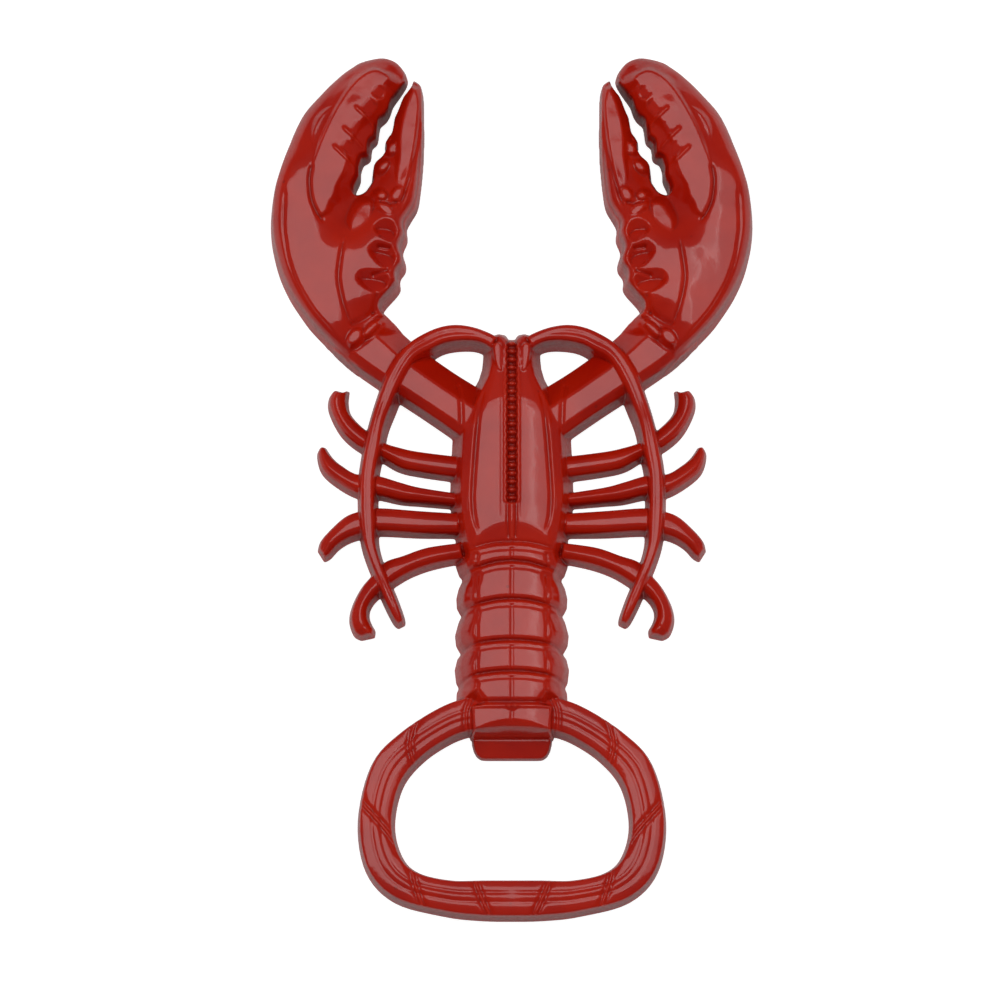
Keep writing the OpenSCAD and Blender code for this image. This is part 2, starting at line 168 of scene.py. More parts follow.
# Lines pressed into the claw, or raised from it: (line, width, depth).
CLAW_LINES = [
    ([(-33.5, 53.4), (-34, 51), (-34, 48.8), (-33.6, 46.4), (-32.4, 44), (-31.4, 42.6)], 0.3, 0.45),
    ([(-28.1, 40.9), (-28.8, 36.7), (-29.1, 33.3), (-28.5, 29.8), (-27.7, 27.2), (-26.8, 25)], 0.34, 0.4),
    ([(-38.2, 49.6), (-38.4, 45), (-38.4, 42), (-38.1, 39.6), (-37.5, 36.4), (-36.1, 32.5), (-33.7, 28.3),
      (-31, 25), (-28.5, 22.4)], 0.28, 0.3),
    ([(-15.4, 64.6), (-15.6, 61.5), (-16.1, 56.8), (-17.2, 51.2), (-18.7, 46.4), (-19.4, 44.6)], 0.28, 0.4),
    ([(-22.6, 46.7), (-21.6, 46.5), (-20.1, 46.4), (-19, 46.6)], 0.3, 0.5),
    ([(-26.6, 63), (-23, 59.7)], 0.24, -0.3),
    ([(-28.6, 59.4), (-25, 56)], 0.24, -0.3),
    ([(-30.2, 56.2), (-26.8, 52.8)], 0.24, -0.25),
    ([(-22.8, 38.9), (-20.2, 38.5)], 0.3, 0.55),
    ([(-23.8, 33.8), (-20.5, 34.8)], 0.3, 0.5),
    ([(-22.6, 30.9), (-23.2, 28.6), (-23.5, 27.2)], 0.35, 0.5),
    ([(-27.5, 25.4), (-25.7, 26), (-23.4, 27.6), (-21.9, 28.6)], 0.5, 0.5),
    ([(-27.4, 21), (-25.6, 22.2), (-23.6, 23.8), (-21.3, 26.3)], 0.35, 0.35),
]
# Rows across a limb, from root to tip: (x and y of one foot, x and y of the other, share of the height).
ARM_ROWS = [
    (-6.6, 4.8, -3.2, 14.4, 1), (-9.5, 6.9, -6.1, 16.3, 1), (-14.8, 10.6, -10, 18.8, 0.98),
    (-20.8, 14.6, -15.5, 22.8, 0.98), (-26.5, 18.6, -19.8, 26.7, 0.98), (-30, 21.8, -22.1, 28.7, 0.98),
    (-31.7, 23.9, -23.8, 30.4, 0.9),
]
# The antenna hides where the arm ends and the wrist begins: a point there and the arm's direction.
WRIST_START = (-18.1, 18.8)
ARM_DIRECTION = (-0.815, 0.578)
ANTENNA_ROWS = [
    (-1.6, 24.1, -3.2, 20.7, 0.84), (-3.6, 25.2, -4.9, 21.9, 0.86), (-6.4, 26.2, -6.8, 22.4, 0.87),
    (-9.5, 26.6, -9.5, 22.3, 0.88), (-12.5, 26.1, -11.6, 21.8, 0.92), (-15.4, 24.8, -13.5, 20.7, 0.98),
    (-18, 23, -15.3, 19.6, 1), (-20, 20.6, -16.8, 17.6, 1), (-21.7, 17.6, -18.4, 14.4, 0.97),
    (-23, 14.1, -19.6, 11.4, 0.9), (-24.3, 9.6, -20.8, 8.2, 0.84), (-25.3, 5, -21.6, 4.1, 0.81),
    (-25.9, 0.7, -22.3, 0.3, 0.8), (-26, -3.9, -22.4, -3.9, 0.79), (-25.8, -7.8, -22.3, -7.9, 0.78),
    (-25.3, -11.3, -22.2, -10.9, 0.76), (-24.3, -14.5, -21.5, -13.7, 0.74), (-23, -17.6, -20.4, -16.8, 0.7),
    (-21.5, -21.2, -19.1, -19.8, 0.64), (-19.9, -24.3, -17.9, -23.2, 0.58),
    (-19, -25.1, -17.8, -24.5, 0.52),
]
LEG_ROWS = [
    [
        (-8.3, -0.3, -8.3, 4.2, 1), (-15.3, 0.7, -15.4, 5.1, 0.98), (-19.1, 1.6, -18.7, 5.8, 0.98),
        (-22.4, 3.5, -21.6, 6.8, 0.98), (-25.9, 5.1, -24.8, 9.1, 0.98), (-28.9, 7.8, -27, 11.4, 0.96),
        (-30.9, 11.7, -27.5, 13.3, 0.94), (-31, 14.2, -27.4, 14.9, 0.92), (-30.1, 15.6, -27.3, 15.6, 0.9),
    ],
    [
        (-8.3, -4.9, -8.3, -2.1, 0.9), (-15.3, -4.3, -15.3, -1, 0.92), (-18.7, -4, -18.7, -0.1, 0.95),
        (-22.4, -3.2, -22.4, 1, 0.98), (-26.1, -2.9, -26, 1.3, 0.98), (-29.7, -0.9, -28.7, 2.9, 0.96),
        (-32.1, 1.4, -30, 4, 0.92), (-32.9, 4.4, -30.9, 5.2, 0.84), (-32.3, 6, -31.3, 5.9, 0.74),
    ],
    [
        (-8.3, -9.75, -8.3, -5.45, 1), (-15.3, -9.7, -15.3, -5, 0.98), (-22.2, -9.4, -22.4, -4.5, 0.98),
        (-25.2, -9.9, -25.8, -5.1, 0.98), (-27.3, -10.6, -28.1, -6, 0.98), (-29, -11.7, -30.3, -7.9, 0.95),
        (-30.4, -13.2, -32.2, -10.1, 0.9), (-31.5, -13.8, -32.7, -11.9, 0.8),
    ],
    [
        (-7.6, -13.9, -8.2, -10.35, 1), (-12.9, -15, -14.2, -11.2, 0.98),
        (-16.6, -16.3, -18.3, -12.6, 0.98), (-19.5, -18, -21.4, -13.7, 0.98),
        (-22.2, -20, -23.5, -15.9, 0.98), (-23.5, -21.6, -25.4, -18.2, 0.96),
        (-23.8, -23, -26.9, -21.3, 0.94), (-23.4, -24.3, -27.3, -23.9, 0.92),
        (-22.8, -25.4, -26.5, -26.3, 0.88), (-22.9, -26.6, -25.2, -27.1, 0.82),
    ],
]
RING_ROWS = [
    (-3, -42.8, -3, -37.5, 1), (-6.8, -43.3, -7.2, -36.9, 1), (-10.3, -44.6, -12, -38.4, 1),
    (-14.7, -47.6, -18.7, -42.7, 1), (-18.1, -51.9, -23.5, -48, 1), (-19.4, -58.2, -25.7, -57.4, 1),
    (-18.1, -63.4, -24.3, -65.9, 1), (-15.3, -66, -19.5, -71, 1), (-10.1, -67.2, -11.2, -73.3, 1),
    (-5.2, -67.2, -5.1, -74, 1), (0, -67.2, 0, -74.1, 1), (4, -67.2, 4, -74, 1),
]


# ---- The relief: heights over the left half of the opener, and which section owns each place
def smoothed(rows, steps=6):
    """The rows with Catmull-Rom rows between them."""
    rows = np.array(rows, float)
    padded = np.vstack([rows[:1], rows, rows[-1:]])
    fine = []
    for a, b, c, d in zip(padded, padded[1:], padded[2:], padded[3:]):
        for t in np.arange(steps) / steps:
            bend, twist = 2 * a - 5 * b + 4 * c - d, 3 * b - a - 3 * c + d
            fine.append(0.5 * (2 * b + (c - a) * t + bend * t**2 + twist * t**3))
    return np.array(fine + [rows[-1]])


def rounded(outline, steps=3):
    """A closed outline with Catmull-Rom points between its own."""
    outline = np.array(outline, float)
    wrapped = np.vstack([outline[-2:], outline, outline[:2]])
    return smoothed(wrapped, steps)[2 * steps:(len(outline) + 2) * steps]


def distance(line, x, y):
    """How far each place is from a line of points, and how far along it the nearest point lies, 0 to 1."""
    steps = np.linalg.norm(np.diff(line, axis=0), axis=1)
    ends = np.concatenate([[0], np.cumsum(steps)]) / max(steps.sum(), 1e-9)
    best = np.full(x.shape, 1e9)
    along = np.zeros(x.shape)
    for (ax, ay), (bx, by), start, end in zip(line, line[1:], ends, ends[1:]):
        dx, dy = bx - ax, by - ay
        t = np.clip(((x - ax) * dx + (y - ay) * dy) / max(dx * dx + dy * dy, 1e-12), 0, 1)
        gap = (x - ax - t * dx) ** 2 + (y - ay - t * dy) ** 2
        nearer = gap < best
        best = np.where(nearer, gap, best)
        along = np.where(nearer, start + t * (end - start), along)
    return np.sqrt(best), along


def inside(outline, x, y):
    """Whether each place is inside a closed outline."""
    crossings = np.zeros(x.shape, bool)
    for (ax, ay), (bx, by) in zip(outline, np.roll(outline, -1, axis=0)):
        if ay != by:
            crossings ^= ((ay > y) != (by > y)) & (x < (bx - ax) * (y - ay) / (by - ay) + ax)
    return crossings


def depth_inside(outline, x, y):
    """How deep each place lies inside a closed outline: negative outside it."""
    edge, _ = distance(np.vstack([outline, outline[:1]]), x, y)
    return np.where(inside(outline, x, y), edge, -edge)


def smooth_max(a, b, reach):
    """The larger of two heights, rounded off where they are closer than reach."""
    mix = np.clip(reach - np.abs(a - b), 0, None) / reach
    return np.maximum(a, b) + mix * mix * reach / 4


def smooth_min(a, b, reach):
    return -smooth_max(-a, -b, reach)


def hump(gap, width):
    """1 on a line or point, falling smoothly to 0 at about twice the width."""
    return np.exp(-((gap / width) ** 2))


def spot_surface(spots, x, y, give=0.3):
    """A thin plate bent through spot heights, or nearly, as far as it gives."""
    spots = np.array(spots, float)
    count = len(spots)

    def bend(squared):
        return squared * np.log(squared + 1e-9)

    apart = ((spots[:, None, :2] - spots[None, :, :2]) ** 2).sum(2)
    plane = np.column_stack([np.ones(count), spots[:, :2]])
    system = np.block([[bend(apart) + give * np.eye(count), plane], [plane.T, np.zeros((3, 3))]])
    weights = np.linalg.solve(system, np.concatenate([spots[:, 2], np.zeros(3)]))
    height = weights[count] + weights[count + 1] * x + weights[count + 2] * y
    for (sx, sy, _), weight in zip(spots, weights):
        height = height + weight * bend((x - sx) ** 2 + (y - sy) ** 2)
    return height


class Relief:
    """Heights on a grid over the left half, up to and a little past the middle line."""

    def __init__(self):
        self.xs = np.arange(-HALF_WIDTH, STEP * 8, STEP)
        self.ys = np.arange(-HALF_LENGTH, HALF_LENGTH, STEP)
        self.middle = int(round(HALF_WIDTH / STEP))
        self.height = np.full((len(self.ys), len(self.xs)), BELOW)
        self.owner = np.full(self.height.shape, -1)
        self.names = []

    def window(self, points, margin=1.6):
        """The part of the grid round some points: its slices and its coordinates."""
        points = np.asarray(points)
        (x0, y0), (x1, y1) = points.min(0) - margin, points.max(0) + margin
        cols = slice(*np.searchsorted(self.xs, [x0, x1]))
        rows = slice(*np.searchsorted(self.ys, [y0, y1]))
        x, y = np.meshgrid(self.xs[cols], self.ys[rows])
        return (rows, cols), x, y

    def add(self, name, where, height, reach):
        """Joins a section onto the relief, with a fillet of that reach."""
        now = self.height[where]
        self.owner[where][height > now] = len(self.names)
        self.names.append(name)
        self.height[where] = smooth_max(now, height, reach)

    def hand_over(self, where, mask, giver, taker):
        """Gives part of one section to a new one."""
        self.owner[where][mask & self.owned(where, giver)] = len(self.names)
        self.names.append(taker)

    def join_outline(self, name, outline, top, shoulder, reach=0.5):
        """Joins a section with steep walls from its outline up to a top, given as a function of x and y."""
        outline = np.array(outline, float)
        where, x, y = self.window(outline)
        self.add(name, where, smooth_min(depth_inside(outline, x, y) * STEEP, top(x, y), shoulder), reach)

    def sheet(self, outline, margin, middle, height, rise_x, rise_y, slope):
        """A sheet that slopes from a height at a middle, and more outside an outline: its window and heights."""
        where, x, y = self.window(outline, margin)
        beyond = np.maximum(-depth_inside(outline, x, y), 0)
        return where, height + rise_x * (x - middle[0]) + rise_y * (y - middle[1]) + slope * beyond

    def crest(self, outline, height, rise_x=0.0, rise_y=0.0, slope=1.4, reach=0.2):
        """Raises a nearly flat crest, whose edges fall away outside its outline."""
        outline = rounded(outline)
        middle = (outline.min(0) + outline.max(0)) / 2
        where, top = self.sheet(outline, 4.0, middle, height, rise_x, rise_y, -slope)
        now = self.height[where]
        self.height[where] = np.where(now > 0, smooth_max(now, top, reach), now)

    def scoop(self, outline, height, rise_x, rise_y, slope=1.3, reach=0.25):
        """Hollows out a sloping floor, whose edges rise outside its outline."""
        outline = rounded(outline)
        where, floor = self.sheet(outline, 3.0, outline.mean(0), height, rise_x, rise_y, slope)
        self.height[where] = smooth_min(self.height[where], floor, reach)

    def stud(self, x, y, length, width, turn, height):
        """Raises an oval crest."""
        around = np.linspace(0, 2 * math.pi, 16, endpoint=False)
        u, v = length * np.cos(around), width * np.sin(around)
        cos, sin = math.cos(math.radians(turn)), math.sin(math.radians(turn))
        self.crest(np.column_stack([x + u * cos - v * sin, y + u * sin + v * cos]), height)

    def bite(self, x0, y0, radius):
        """Takes a round bite out of an edge."""
        where, x, y = self.window([(x0, y0)], 2.5 * radius)
        gap = np.hypot(x - x0, y - y0) - radius
        self.height[where] = smooth_min(self.height[where], gap * NOTCH_SLOPE, 0.4)

    def press(self, line, width, depth, names=(), fade=0.12):
        """Presses a line into the relief (raises it when the depth is negative), fading out at both ends."""
        line = np.array(line, float)
        if len(line) > 2:
            line = smoothed(line)
        where, x, y = self.window(line, 3 * width)
        gap, along = distance(line, x, y)
        strength = np.clip(np.minimum(along, 1 - along) / fade, 0, 1) if fade else np.ones(x.shape)
        strength = strength * strength * (3 - 2 * strength)
        strength = np.where(self.height[where] > 0, strength, 0)
        if names:
            strength = np.where(self.owned(where, *names), strength, 0)
        self.height[where] -= depth * hump(gap, width) * strength

    def dot(self, x0, y0, radius, height):
        """Raises a small round dot."""
        where, x, y = self.window([(x0, y0)], 1.8 * radius)
        u, v = (x - x0) / radius, (y - y0) / radius
        self.height[where] += height * np.exp(-((u * u + v * v) ** 1.2))

    def owned(self, where, *names):
        """Which places of a window belong to some sections."""
        return np.isin(self.owner[where], [self.names.index(n) for n in names])


class Ridge:
    """A limb between two foot lines: how far each place is from them, and its share of the full height."""

    def __init__(self, relief, rows):
        fine = smoothed(rows)
        left, right = fine[:, 0:2], fine[:, 2:4]
        outline = np.vstack([left, right[::-1]])
        self.where, self.x, self.y = relief.window(outline)
        self.from_left, along_left = distance(left, self.x, self.y)
        self.from_right, along_right = distance(right, self.x, self.y)
        self.depth = depth_inside(outline, self.x, self.y)
        self.share = np.interp((along_left + along_right) / 2, np.linspace(0, 1, len(fine)), fine[:, 4])

    def faceted(self, top, left, right, wall, shoulder):
        """Walls of that slope, a facet on each side, given as (height at the foot, slope), and a flat top."""
        height = top * self.share
        for (start, slope), gap in ((left, self.from_left), (right, self.from_right)):
            height = smooth_min(height, start * self.share + slope * gap, shoulder)
        return smooth_min(self.depth * wall, height, shoulder)


# Bevels between the claw's walls and its top: (y, fall at the outline, width). The slot's is even.
OUTER_BEVEL = [(22, 5, 2), (35, 6, 2.7), (58, 5, 2.6), (66, 3.8, 2.2), (73, 2.6, 1.6)]
BASE_BEVEL = [(19, 2.6, 1.8), (29, 2.6, 1.8)]
INNER_BEVEL = [(28, 4, 1.8), (44, 4.6, 2), (52, 4.4, 1.9), (60, 3.4, 1.3), (68, 2.2, 0.8)]
SLOT_FALL, SLOT_BEVEL_WIDTH = 0.6, 0.5


def bevel(gap, y, rows):
    """How far a rounded top has fallen at a distance from its outline."""
    at, fall, width = np.array(rows).T
    share = np.clip(1 - gap / np.interp(y, at, width), 0, 1)
    return np.interp(y, at, fall) * (1 - np.sqrt(1 - share**2))


def claw_top(x, y):
    outline = np.array(CLAW_OUTLINE)
    parts = (smoothed(part, 3) for part in np.split(outline, [SLOT_START, SLOT_END]))
    outer, slot, inner = (distance(part, x, y)[0] for part in parts)
    base, _ = distance(outline[[-1, 0]], x, y)
    fall = np.maximum(bevel(outer, y, OUTER_BEVEL), bevel(inner, y, INNER_BEVEL))
    fall = np.maximum(fall, SLOT_FALL * np.clip(1 - slot / SLOT_BEVEL_WIDTH, 0, 1))
    fall = np.maximum(fall, bevel(base, y, BASE_BEVEL))
    return spot_surface(CLAW_SPOTS, x, y) - fall


def claw(relief):
    relief.join_outline("claw", smoothed(CLAW_OUTLINE, 3), claw_top, 0.8)
    thumb = np.array(THUMB_AREA)
    where, x, y = relief.window(thumb)
    relief.hand_over(where, inside(thumb, x, y), "claw", "thumb")
    for crest in CLAW_CRESTS:
        relief.crest(*crest)
    for scoop in CLAW_SCOOPS:
        relief.scoop(*scoop)
    for stud in CLAW_STUDS:
        relief.stud(*stud)
    for line, width, depth in CLAW_LINES:
        relief.press(line, width, depth)


# Facets of the limbs and the ring: (height at the foot, slope) at the rows' first foot and at their second.
ARM_FACETS = (5.4, 1.06), (2.9, 1.06)
ANTENNA_FACETS = (6.9, 0.9), (6.8, 1.0)
LEG_FACETS = (3.3, 1.15), (3.6, 0.75)
RING_FACETS = (5.9, 0.28), (5.95, 0.24)
ANTENNA_WALL = 9.0
LEG_WALL = 7.5
# Where the arm bends down to the shield, and how that is pressed in: (width, depth).
ARM_ROOT = [(-8.9, 15.4), (-8.5, 12), (-8.4, 8.2)]
ARM_BEND = (0.4, 0.3)
ANTENNA_FLUTE = (0.35, 0.12)
# The round notch in the tip of each front leg: its middle and radius.
NOTCH = (-28.6, 16, 0.5)


def limb(relief, name, rows, top, facets, wall, reach=0.3, shoulder=0.3):
    """Joins a limb or the ring from its rows, and gives its ridge back."""
    ridge = Ridge(relief, rows)
    relief.add(name, ridge.where, ridge.faceted(top, *facets, wall, shoulder), reach)
    return ridge


def line_along(rows, share):
    """The line that keeps to one share of the way across some rows."""
    return smoothed([(a + share * (c - a), b + share * (d - b)) for a, b, c, d, _ in rows])


def arm(relief):
    ridge = limb(relief, "arm", ARM_ROWS, ARM_TOP, ARM_FACETS, STEEP)
    relief.press(ARM_ROOT, *ARM_BEND, ["arm"], fade=0)
    (x0, y0), (dx, dy) = WRIST_START, ARM_DIRECTION
    relief.hand_over(ridge.where, (ridge.x - x0) * dx + (ridge.y - y0) * dy > 0, "arm", "wrist")


def antenna(relief):
    limb(relief, "antenna", ANTENNA_ROWS, ANTENNA_TOP, ANTENNA_FACETS, ANTENNA_WALL)
    relief.press(line_along(ANTENNA_ROWS, 0.5), *ANTENNA_FLUTE, ["antenna"])


def legs(relief):
    for number, rows in enumerate(LEG_ROWS, 1):
        limb(relief, f"leg_{number}", rows, LEG_TOP, LEG_FACETS, LEG_WALL, 0.35)
    relief.bite(*NOTCH)


# Turns of the cord pattern across the ring, from the outer edge to the inner.
WRAPS = [
    [(-6.6, -37), (-6.9, -38), (-7.5, -39.7), (-7.5, -42.3), (-7.4, -43.2)],
    [(-15.6, -40.8), (-16.3, -42.3), (-16.9, -45.1), (-16.5, -47.4), (-15.9, -49)],
    [(-25.2, -53.9), (-24.5, -55.2), (-22, -58), (-20, -60.5), (-18.6, -63)],
    [(-17.3, -64), (-16.7, -65.5), (-16, -68.3), (-15, -71.3), (-14.4, -72.6)],
    [(-6.2, -67.6), (-5.8, -68.6), (-4.9, -70.9), (-3.8, -73.2), (-3.5, -74.2)],
]
# Each turn is a groove with a cord in it: (width, depth).
WRAP_GROOVE, WRAP_CORD = (0.62, 0.42), (0.24, -0.5)
# Lines along the ring: (share of the way across it, depth), and their width.
RING_LINES = [(0.36, 0.13), (0.47, -0.06), (0.6, 0.13)]
RING_LINE_WIDTH = 0.24


def ring(relief):
    limb(relief, "grip_ring", RING_ROWS, RING_TOP, RING_FACETS, STEEP, shoulder=0.25)
    for share, depth in RING_LINES:
        relief.press(line_along(RING_ROWS, share), RING_LINE_WIDTH, depth, ["grip_ring"])
    for wrap in WRAPS:
        for shape in (WRAP_GROOVE, WRAP_CORD):
            relief.press(wrap, *shape, ["grip_ring"], fade=0)


# ---- Rostrum, carapace and tail
# Half-widths of the shield's foot from the nose to the tail: (y, half-width).
NOSE_FOOT = [
    (24.9, 0), (24.9, 0.5), (25.4, 1.2), (25.6, 2.2), (25.3, 3.2), (24.8, 3.7), (23.7, 4.1), (22, 4.8),
    (19.4, 5.1), (17.7, 5.6), (16.3, 6.3),
]
# Where the rostrum ends and the carapace begins: between two beads, behind the corners between head and arms.
NOSE_END = 14.9
BACK_FOOT = [
    (16.3, 6.3), (12.6, 8.1), (9.5, 9.6), (7, 10.1), (2, 10.35), (-3.5, 10.5), (-8, 10), (-13.2, 8.9),
]
# Height of the shield's back along its middle, and how far the same height lies further back at its sides.
BACK_LINE = [
    (26.5, 6.9), (23.8, 7.1), (22, 7.5), (19, 7.6), (17.8, 7.7), (13.4, 8.5), (12, 8.6), (-7.8, 8.6),
    (-8.6, 8.45), (-11.4, 7.7),
]
BACK_SWEEP = 0.07
# How the top falls away to both sides: a share of the square of the distance from the middle.
CAMBER = 0.0080
PLATE_EDGE = [
    (-4.2, 15.5), (-5.2, 12.1), (-5.7, 8.3), (-6, 4.9), (-6.3, 0.7), (-6.5, -2.7), (-6.5, -5.2),
    (-6.2, -7.8), (-5.3, -10.4),
]
# A crest beside the groove, as in CLAW_CRESTS.
NOSE_PETAL = (
    [(-3, 21.9), (-2.3, 22.5), (-1.6, 21.6), (-1.5, 18.5), (-2, 17.8), (-2.7, 19.2)], 7.8, 0, -0.01, 4)
# The groove of the beads: its half width, how far its scallops reach in, its depth, the width of its edges,
# then how far it runs on behind the last bead and over what length it ends, then its raised border.
GROOVE_HALF_WIDTH, SCALLOP, GROOVE_DEPTH, GROOVE_EDGE = 0.85, 0.14, 1.35, 0.22
GROOVE_REST, GROOVE_END = 0.9, 0.3
BORDER_HEIGHT, BORDER_WIDTH, BORDER_GAP = 0.16, 0.24, 0.32
# A bead's half width, half length and half height, and how deep its middle lies under the shield's back.
BEAD, BEAD_DEPTH = (0.74, 0.44, 0.5), 0.85
BEAD_PITCH, BEAD_COUNT, FIRST_BEAD = 1.4, 20, 22.6

# The tail's foot, ring by ring: (y, half-width).
TAIL_FOOT = [
    (-13.2, 8.9), (-14.5, 9.5), (-16.2, 8.9), (-17, 8.4), (-18.2, 9), (-19.9, 9.4), (-21.6, 9.3),
    (-23, 8.6), (-24.3, 9.1), (-26.2, 9.6), (-28, 9.4), (-29.3, 8.7), (-30.2, 9.2), (-32, 9.65),
    (-34.2, 9.4), (-35.2, 9), (-36, 9.3), (-37.2, 9.35), (-38.6, 9.1),
]
# The creases between the rings: (y in the middle, drop at half width 5.5, drop at the foot).
TAIL_CREASES = [
    (-11.4, 0.7, 1.6), (-14.5, 1, 2.5), (-20.9, 0.8, 2.4), (-27.8, 0.5, 1.9), (-33, 0.5, 2),
    (-38.2, 0, 0.3),
]
# How the creases are pressed in, and the raised line behind each: (width, depth), and how far behind it lies.
CREASE, FIRST_CREASE, CREASE_BORDER, BORDER_SHIFT = (0.32, 0.5), (0.32, 0.25), (0.26, -0.2), -0.75
# The plate on each ring: half its width, and the lines at its sides and along its middle.
TAIL_PLATE, PLATE_LINE, KEEL_LINE = 5.85, (0.28, 0.3), (0.3, 0.16)
# How low each ring starts behind its crease, and the length over which it rises.
RING_RAMP, RING_RAMP_LENGTH = 0.45, 1.7
BOSS_FOOT = [(-39, 7.4), (-40, 7.1), (-43.9, 7)]
BOSS_DOT = (-0.5, -39, 0.42, 0.35)
# How far the boss lies below the rings, where its top bends down, how that line curves, and the slope there.
BOSS_DROP, BOSS_END, BOSS_SWEEP, BOSS_SLOPE = 0.15, -41.2, 0.044, 0.6
# The boss's end face: where it starts, how high, its slope and how it curves.
FACE_START, FACE_TOP, FACE_SLOPE, FACE_SWEEP = -42.3, 7.75, 3.0, 0.02
# The flank between wall and back: (y, slope of the wall, height of the flank at its foot, slope, rounding).
FLANK = [
    (-44, 12, 12, 1, 0.4), (-39.5, 12, 12, 1, 0.4), (-38.6, 5.5, 2.6, 2, 1.6), (-24, 5.5, 2.6, 2, 1.6),
    (-20, 4.5, 4.8, 1.05, 0.6), (-13, 3.8, 5.4, 0.9, 0.5), (17, 3.8, 5.4, 0.9, 0.5), (26, 4.5, 4, 1.2, 0.9),
]


def crease_line(crease, shift=0.0):
    """A crease between two rings, from the left foot to just past the middle line."""
    middle, near, far = crease
    drops = (-9.2, far), (-7.4, 0.45 * (near + far)), (-5.5, near), (-2.8, 0.25 * near), (0, 0), (0.7, 0)
    return [(x, middle - drop + shift) for x, drop in drops]


def mirrored(left):
    """A closed outline from its left half."""
    return left + [(-x, y) for x, y in reversed(left)]


def spine(relief):
    """Rostrum, carapace, five tail rings and the boss, as one solid with steep sides and a cambered back."""
    feet = NOSE_FOOT + BACK_FOOT[1:] + TAIL_FOOT[1:] + BOSS_FOOT
    outline = np.array(mirrored([(-w, y) for y, w in feet]))
    where, x, y = relief.window(outline)
    depth = depth_inside(outline, x, y)
    creases = [np.array(crease_line(crease)) for crease in TAIL_CREASES]
    behind = [np.interp(x, line[:, 0], line[:, 1]) - y for line in creases]
    ys, zs = np.array(BACK_LINE[::-1]).T
    back = np.interp(y + BACK_SWEEP * x**2, ys, zs)
    ramps = (RING_RAMP * np.clip(1 - b / RING_RAMP_LENGTH, 0, 1) * (b > -0.1) for b in behind[:-1])
    rings = BODY_TOP - sum(ramps)
    boss = BODY_TOP - BOSS_DROP - BOSS_SLOPE * np.maximum(BOSS_END - BOSS_SWEEP * x**2 - y, 0)
    boss = smooth_min(boss, FACE_TOP - FACE_SLOPE * (FACE_START - FACE_SWEEP * x**2 - y), 0.25)
    top = np.where(behind[0] < 0, back, np.where(behind[-1] < 0, rings, boss)) - CAMBER * x**2
    at, *columns = np.array(FLANK).T
    wall, start, slope, rounding = (np.interp(y, at, column) for column in columns)
    height = smooth_min(top, start + slope * np.maximum(depth, 0), rounding)
    height = smooth_min(depth * wall, height, rounding)
    names = ["rostrum", "carapace", *(f"tail_segment_{number}" for number in range(1, 6)), "tail_boss"]
    rank = (y < NOSE_END).astype(int) + sum((b > 0).astype(int) for b in behind)
    for number, name in enumerate(names):
        relief.add(name, where, np.where(rank == number, height, BELOW), 0.01)


# Lines pressed into the spine, or raised from it: (line, width, depth, share of its length where it fades).
SPINE_LINES = [
    (PLATE_EDGE, 0.3, 0.3, 0.12), ([(x - 0.62, y) for x, y in PLATE_EDGE[1:-1]], 0.28, -0.22, 0.12),
    ([(-1.6, 24), (-1.6, 12), (-1.6, -8)], 0.32, 0.14, 0.05),
    ([(0, -4.4), (0, -8), (0, -11.4)], 0.4, -0.28, 0.1),
    ([(-0.75, -4.6), (-0.7, -8), (-0.45, -11)], 0.22, 0.3, 0.1),
    ([(0, -39.6), (0, -41.6)], 0.3, 0.16, 0.12),
]


def spine_details(relief):
    relief.crest(*NOSE_PETAL)
    for line, width, depth, fade in SPINE_LINES:
        relief.press(line, width, depth, fade=fade)
    for crease in TAIL_CREASES:
        relief.press(crease_line(crease), *(FIRST_CREASE if crease is TAIL_CREASES[0] else CREASE), fade=0)
        relief.press(crease_line(crease, BORDER_SHIFT), *CREASE_BORDER, fade=0)
    for front, rear in zip(TAIL_CREASES, TAIL_CREASES[1:]):
        top, bottom = front[0] - front[1] - 1.2, rear[0] - rear[1] - 0.2
        side = [(0.2 - TAIL_PLATE, top), (-TAIL_PLATE, (top + bottom) / 2), (0.1 - TAIL_PLATE, bottom)]
        relief.press(side, *PLATE_LINE)
        relief.press([(0.0, front[0] - 1.0), (0.0, rear[0])], *KEEL_LINE, fade=0.05)
    relief.dot(*BOSS_DOT)


def beads(relief):
    """The groove down the middle of the back, its scalloped borders and the row of beads in it."""
    last = FIRST_BEAD - BEAD_PITCH * (BEAD_COUNT - 1)
    where, x, y = relief.window([(-2.0, last - 1.0), (0.8, FIRST_BEAD + 3.2)], 0)
    now = relief.height[where]
    wave = 0.5 + 0.5 * np.cos((y - FIRST_BEAD) * 2 * math.pi / BEAD_PITCH)
    half = GROOVE_HALF_WIDTH - SCALLOP + SCALLOP * wave
    reach = np.clip((y - last + GROOVE_REST) / GROOVE_END, 0, 1) * (now > 0)
    cut = np.clip((half - np.abs(x)) / GROOVE_EDGE + 0.5, 0, 1) * reach
    border = BORDER_HEIGHT * hump(np.abs(x) - half - BORDER_GAP, BORDER_WIDTH) * reach
    relief.height[where] = now + border - GROOVE_DEPTH * cut
    nearest = np.clip(np.round((FIRST_BEAD - y) / BEAD_PITCH), 0, BEAD_COUNT - 1)
    width, length, bulge = BEAD
    gap = (x / width) ** 2 + ((y - FIRST_BEAD + nearest * BEAD_PITCH) / length) ** 2
    middle = np.interp(FIRST_BEAD - nearest * BEAD_PITCH, *np.array(BACK_LINE[::-1]).T)
    dome = middle - BEAD_DEPTH + bulge * np.sqrt(np.maximum(1 - gap, 0))
    relief.add("dorsal_bead_row", where, np.where(gap < 1, dome, BELOW), 0.05)


LIP_OUTLINE = [(-6.75, -41), (-6.7, -44.6), (-6.4, -45.8), (-5.9, -46.7), (-5.2, -47.2), (-4.4, -47.3)]
# Where the lip's top starts to slope down, and how steeply.
LIP_BEND, LIP_SLOPE = -44.2, 0.26


